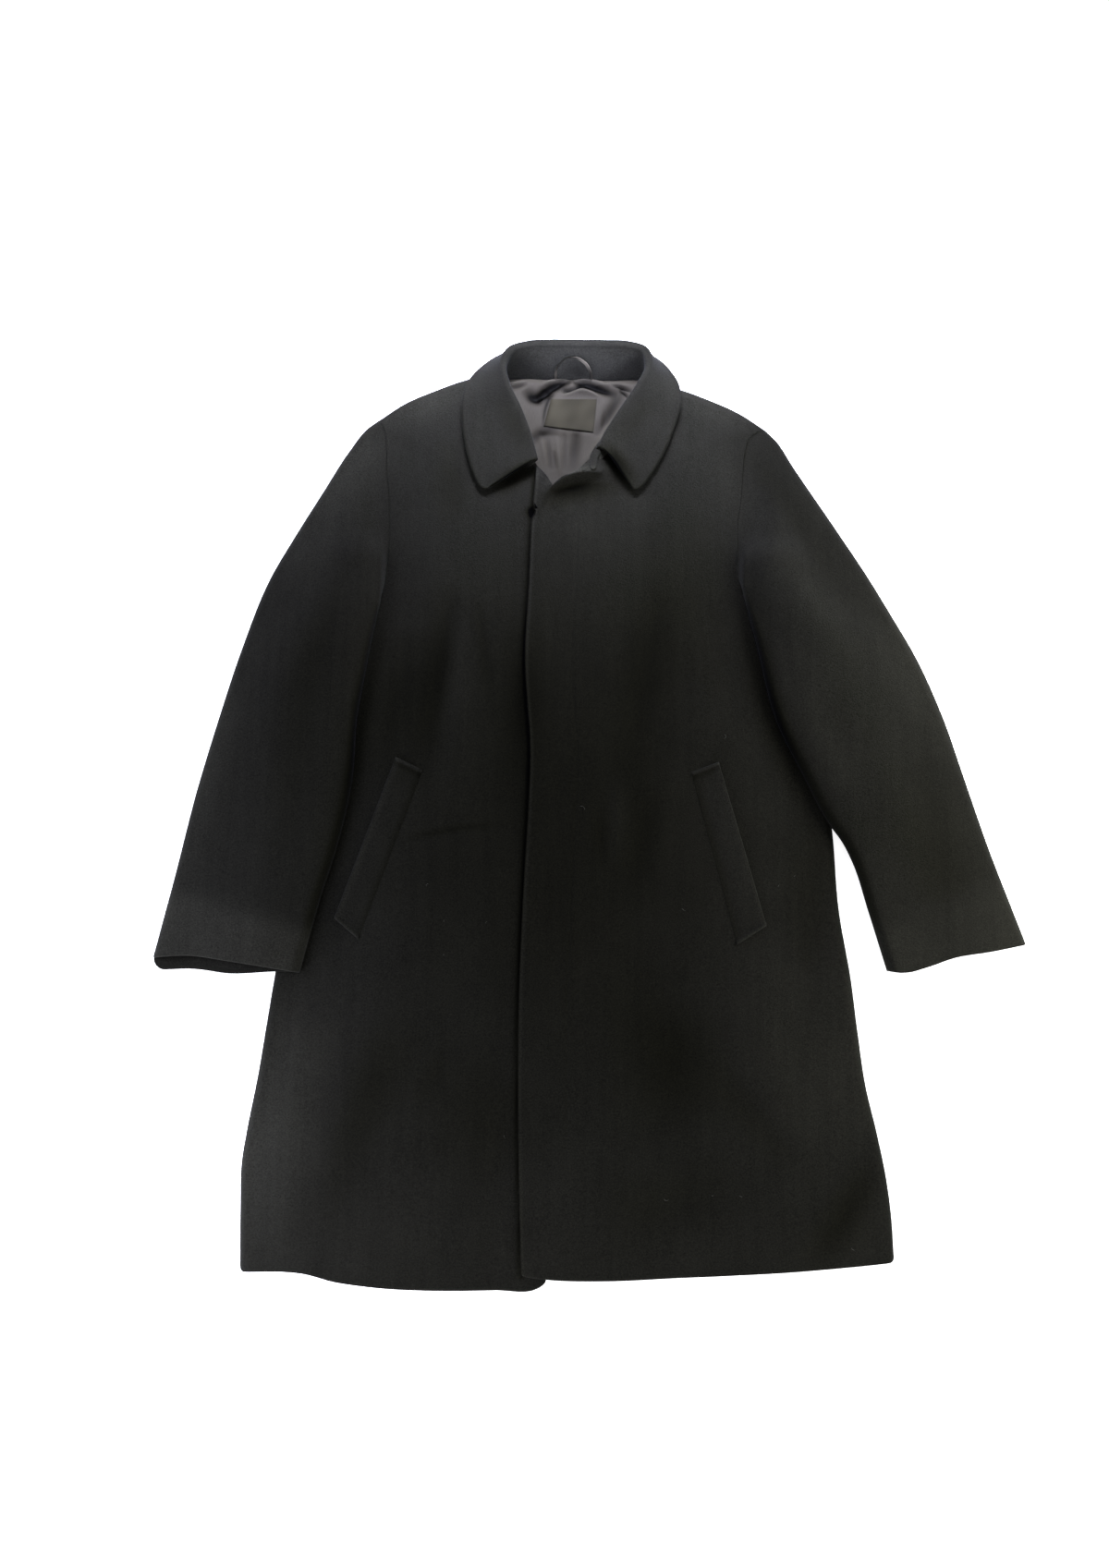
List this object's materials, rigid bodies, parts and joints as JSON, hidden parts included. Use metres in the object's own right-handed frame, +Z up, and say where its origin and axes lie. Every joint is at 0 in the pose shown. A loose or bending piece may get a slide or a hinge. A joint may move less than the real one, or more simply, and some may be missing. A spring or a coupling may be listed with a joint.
{
  "type": "coat",
  "caption": "Black wool coat with a turn-down collar, a closed front with hidden fastening and slanted welt pockets, laid flat on its back with the sleeves at its sides.",
  "frame": {"origin": "middle of the coat's footprint, on the surface that it lies on", "axes": "+X to the wearer's left, +Y along the centre line towards the neck, +Z up out of the closed front"},
  "size_m": [0.965, 1.0818, 0.0455],
  "materials": {
    "black_wool": "felted wool, matt with a faint nap",
    "mauve_satin": "satin lining with a soft sheen",
    "woven_label": "plain woven ribbon, blank"
  },
  "bodies": {
    "root": {"back": "black_wool", "right_front": "black_wool", "left_front": "black_wool", "right_top_sleeve": "black_wool", "left_top_sleeve": "black_wool", "right_under_sleeve": "black_wool", "left_under_sleeve": "black_wool", "right_welt": "black_wool", "left_welt": "black_wool", "collar": "black_wool", "back_lining": "mauve_satin", "hanging_loop": "mauve_satin", "neck_label": "woven_label"}
  },
  "joints": []
}
